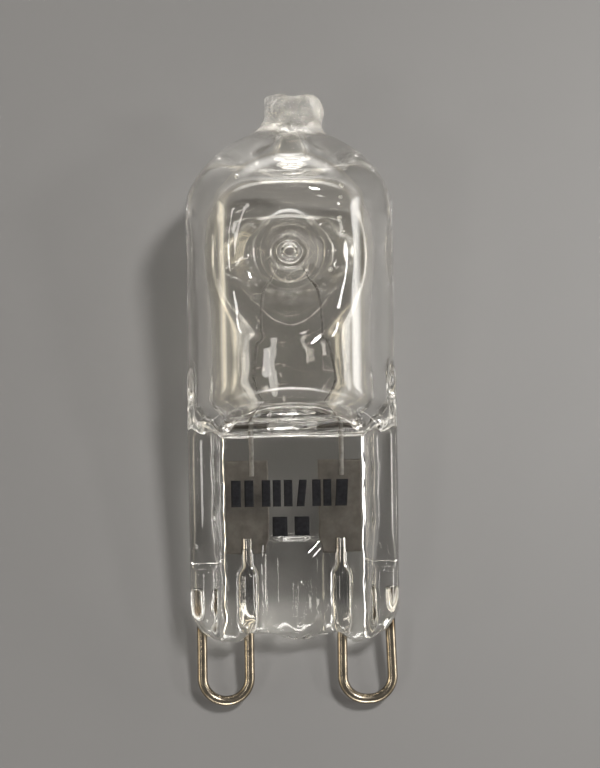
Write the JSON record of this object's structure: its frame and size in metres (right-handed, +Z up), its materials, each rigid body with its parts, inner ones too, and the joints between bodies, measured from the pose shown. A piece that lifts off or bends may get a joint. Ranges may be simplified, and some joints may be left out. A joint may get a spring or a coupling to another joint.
{
  "type": "halogen capsule lamp",
  "caption": "Clear halogen capsule lamp for an oven: thick glass body with a sealed tip and facing dimples, a filament over the glass bridge, a flat pressed pinch and hairpin wire pins.",
  "frame": {"origin": "on the floor under the middle of the lamp's bounding box, the lamp lying on its back as it comes to rest", "axes": "+Y along the lamp towards its sealed tip, +Z up, +X across the pinch from the left pin to the right pin"},
  "size_m": [0.0134, 0.0384, 0.0153],
  "materials": {
    "glass": "clear polished quartz glass, slightly warm in the thick places",
    "filament": "fine dark grey tungsten coil",
    "lead": "drawn grey wire",
    "foil": "dull brownish grey foil",
    "pin": "satin nickel-grey wire with a warm tarnish"
  },
  "bodies": {
    "root": {"glass_envelope": "glass", "filament": "filament", "left_inner_lead": "lead", "right_inner_lead": "lead", "left_foil": "foil", "right_foil": "foil", "left_pin": "pin", "right_pin": "pin"}
  },
  "joints": []
}
